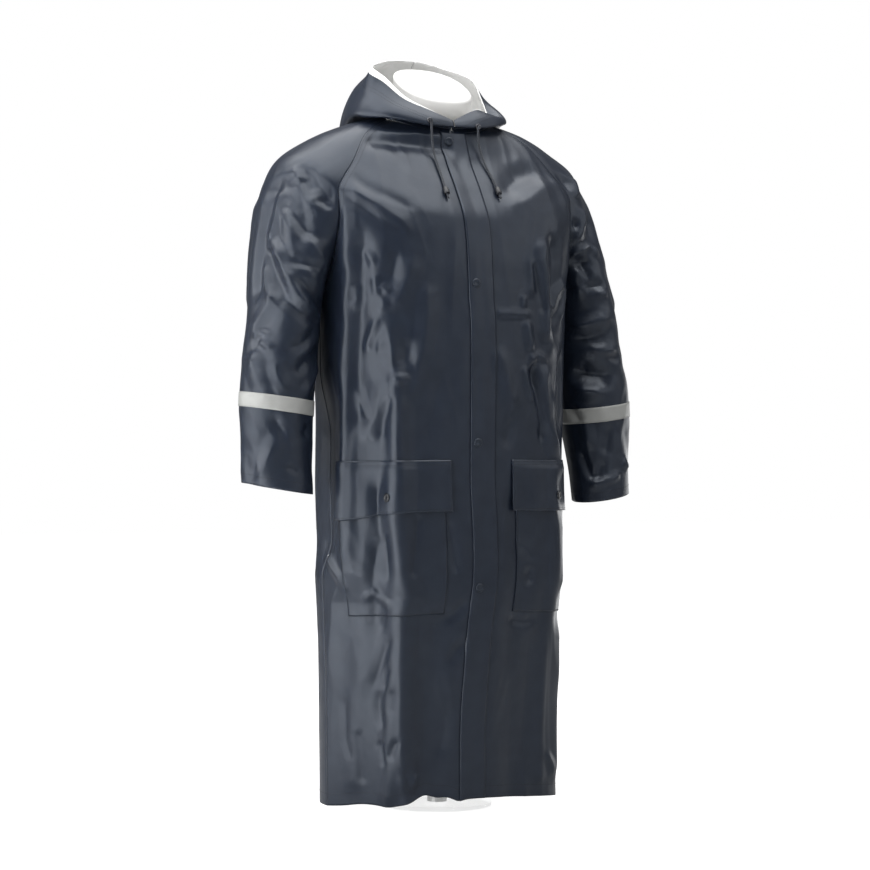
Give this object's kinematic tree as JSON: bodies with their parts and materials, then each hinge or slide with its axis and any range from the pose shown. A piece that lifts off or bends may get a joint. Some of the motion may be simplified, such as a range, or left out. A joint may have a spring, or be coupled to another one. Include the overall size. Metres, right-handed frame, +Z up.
{
  "type": "hooded raincoat on a dress form",
  "caption": "Long hooded raincoat of coated cloth, with raglan sleeves, a snapped placket, patch pockets and reflective sleeve bands, on a limbless dress form with a pole and a round base.",
  "frame": {"origin": "centre of the dress form's round base, on the floor", "axes": "+Z up along the form's pole; the coat faces -Y; +X is to the wearer's left"},
  "size_m": [0.7506, 0.3903, 1.319],
  "materials": {
    "coated_navy": "satin polymer coating",
    "reflective_tape": "fine grey reflective cloth",
    "dark_plastic": "satin",
    "navy_cord": "braided",
    "dark_metal": "satin",
    "form_white": "matt",
    "form_clear": "polished",
    "form_steel": "satin"
  },
  "bodies": {
    "root": {"back": "coated_navy", "bell_left": "dark_plastic", "bell_right": "dark_plastic", "cord_left": "navy_cord", "cord_right": "navy_cord", "eyelet_left": "dark_metal", "eyelet_right": "dark_metal", "flap_left": "coated_navy", "flap_right": "coated_navy", "form_base": "form_clear", "form_pole": "form_steel", "form_torso": "form_white", "front_left": "coated_navy", "front_right": "coated_navy", "hood_left": "coated_navy", "hood_right": "coated_navy", "placket": "coated_navy", "pocket_left": "coated_navy", "pocket_right": "coated_navy", "sleeve_left": "coated_navy", "sleeve_right": "coated_navy", "snap_1": "dark_plastic", "snap_2": "dark_plastic", "snap_3": "dark_plastic", "snap_4": "dark_plastic", "snap_pocket_left": "dark_plastic", "snap_pocket_right": "dark_plastic", "tape_left": "reflective_tape", "tape_right": "reflective_tape"}
  },
  "joints": []
}
